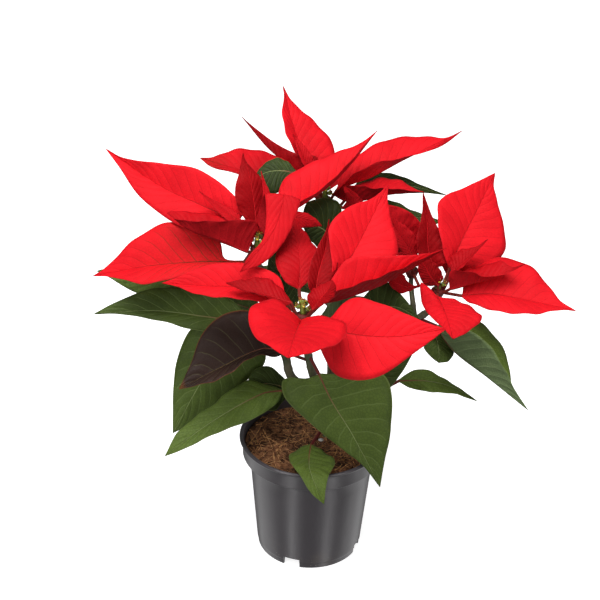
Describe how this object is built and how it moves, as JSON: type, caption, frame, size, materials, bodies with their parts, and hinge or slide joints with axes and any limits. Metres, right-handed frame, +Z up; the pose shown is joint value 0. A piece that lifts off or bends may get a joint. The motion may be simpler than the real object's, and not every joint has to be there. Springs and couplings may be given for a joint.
{
  "type": "potted poinsettia",
  "caption": "Flowering poinsettia with large pointed red bracts over dark green leaves on a forked stem, growing in soil in a round tapered nursery pot.",
  "frame": {"origin": "centre of the flat pad under the pot, on the surface that the pot stands on", "axes": "+Z up along the pot's axis, -Y towards the viewer of the picture, +X to the viewer's right"},
  "size_m": [0.3806, 0.3126, 0.3615],
  "materials": {
    "pot_plastic": "dark grey satin plastic",
    "peat": "loose dark brown peat with coir fibres",
    "stem_skin": "smooth grey-green young bark",
    "leaf_green": "soft dark green leaf with paler veins",
    "leaf_purple": "purple-brown leaf between green and red",
    "bract_red": "velvety bright red bract",
    "cyathia_green": "waxy yellow-green flower cups"
  },
  "bodies": {
    "root": {"pot": "pot_plastic", "soil": "peat", "stem": "stem_skin", "bracts_left": "bract_red", "bracts_front": "bract_red", "bracts_back": "bract_red", "bracts_inner": "bract_red", "bracts_right": "bract_red", "cyathia_left": "cyathia_green", "cyathia_front": "cyathia_green", "cyathia_back": "cyathia_green", "cyathia_inner": "cyathia_green", "cyathia_right": "cyathia_green", "leaf_left_top": "leaf_green", "leaf_left_upper": "leaf_green", "leaf_left_purple": "leaf_purple", "leaf_left_hanging": "leaf_green", "leaf_left_low": "leaf_green", "leaf_left_small": "leaf_green", "leaf_front_large": "leaf_green", "leaf_over_rim": "leaf_green", "leaf_right_low": "leaf_green", "leaf_right_narrow": "leaf_green", "leaf_right_folded": "leaf_green", "leaf_right_small": "leaf_green", "leaf_inner_dark": "leaf_green", "leaf_inner_pale": "leaf_green", "leaf_inner_right": "leaf_green", "leaf_back_right": "leaf_green", "leaf_back_left": "leaf_green", "leaf_back_brown": "leaf_green", "leaf_back_veined": "leaf_green", "leaf_rear_left": "leaf_green", "leaf_rear_low": "leaf_green", "leaf_rear_middle": "leaf_green", "leaf_rear_upper": "leaf_green", "leaf_rear_right": "leaf_green", "leaf_rear_outer": "leaf_green"}
  },
  "joints": []
}
